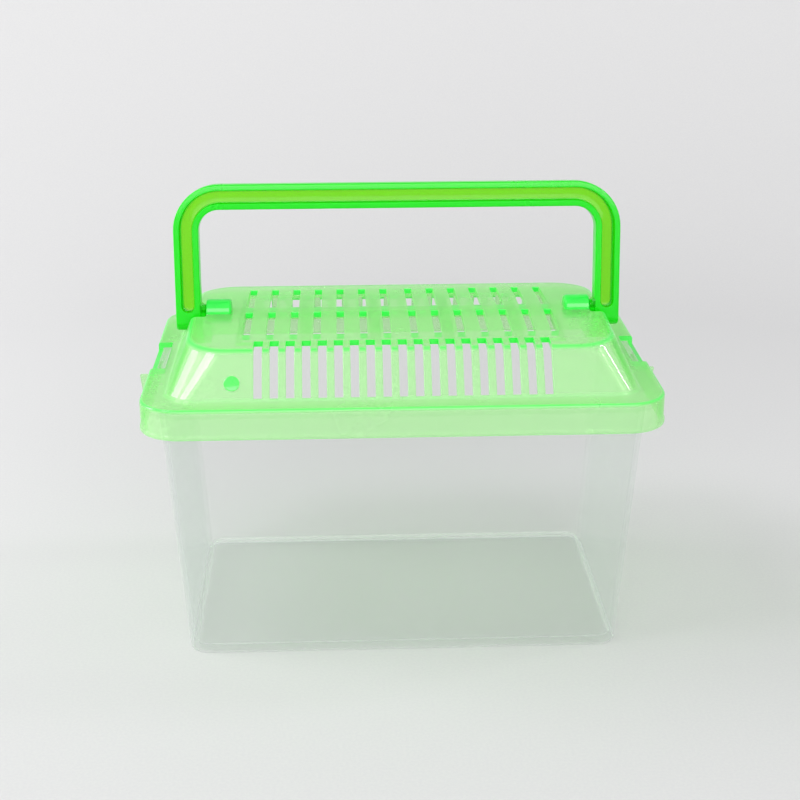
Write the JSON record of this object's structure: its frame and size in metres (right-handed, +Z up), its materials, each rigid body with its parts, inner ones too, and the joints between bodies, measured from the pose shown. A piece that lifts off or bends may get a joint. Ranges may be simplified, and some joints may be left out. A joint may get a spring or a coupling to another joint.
{
  "type": "plastic pet keeper",
  "caption": "Small clear plastic keeper for insects or small pets, with a vented clip-on lid, snap-in swing handle and tapered tank.",
  "frame": {"origin": "middle of the tank's base, on the surface it stands on", "axes": "+X along the keeper's length to the right, -Y to the front with the sloping slots, +Z up"},
  "size_m": [0.1956, 0.122, 0.1651],
  "materials": {
    "clear_plastic": "clear moulded plastic with a slight haze",
    "lid_plastic": "translucent light green moulded plastic, satin",
    "handle_plastic": "strong green moulded plastic, satin, slightly translucent"
  },
  "bodies": {
    "tank": {"tank": "clear_plastic"},
    "lid": {"lid": "lid_plastic"},
    "handle": {"handle": "handle_plastic"}
  },
  "joints": [
    {"name": "lid_lift", "type": "slide", "parent": "tank", "child": "lid", "axis": [0, 0, 1], "range_m": [0, 0.06]},
    {"name": "handle_swing", "type": "hinge", "parent": "lid", "child": "handle", "pos_m": [0, 0, 0.118], "axis": [1, 0, 0], "range_deg": [-46.9, 63.1]}
  ]
}
